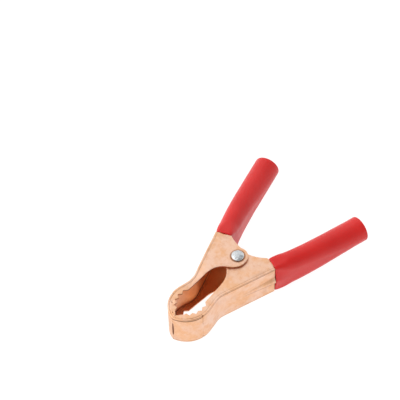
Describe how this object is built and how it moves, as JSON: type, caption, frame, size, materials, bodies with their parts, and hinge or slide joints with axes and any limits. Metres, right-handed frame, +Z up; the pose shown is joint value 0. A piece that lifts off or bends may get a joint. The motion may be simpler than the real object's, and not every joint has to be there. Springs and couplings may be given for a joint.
{
  "type": "sleeved alligator clip",
  "caption": "Spring clip with two toothed copper-plated jaws that turn on a rivet against a torsion spring, each with a soft red sleeve on its handle.",
  "frame": {"origin": "centre of the flat end of the rivet's tail, which is the lowest point when the clip lies on its side", "axes": "+Z up along the rivet; the nose points along -X and the handles along +X; the outer jaw is on the +Y side and the inner jaw on the -Y side"},
  "size_m": [0.096, 0.0655, 0.0209],
  "materials": {
    "copper_plated_steel": "thin copper plate on stamped steel, satin",
    "zinc_plated_steel": "bright zinc plate",
    "spring_steel": "bare spring wire, satin",
    "red_vinyl": "soft dipped vinyl, half gloss"
  },
  "bodies": {
    "inner_jaw_body": {"inner_jaw": "copper_plated_steel", "pivot_rivet": "zinc_plated_steel", "torsion_spring": "spring_steel", "inner_jaw_sleeve": "red_vinyl"},
    "outer_jaw_body": {"outer_jaw": "copper_plated_steel", "outer_jaw_sleeve": "red_vinyl"}
  },
  "joints": [
    {"name": "jaw_pivot", "type": "hinge", "parent": "inner_jaw_body", "child": "outer_jaw_body", "pos_m": [0, 0, 0], "axis": [0, 0, -1], "range_deg": [0, 42], "stiffness_Nm_per_rad": 0.83, "springref_deg": -24.64, "deforming": ["torsion_spring"]}
  ]
}
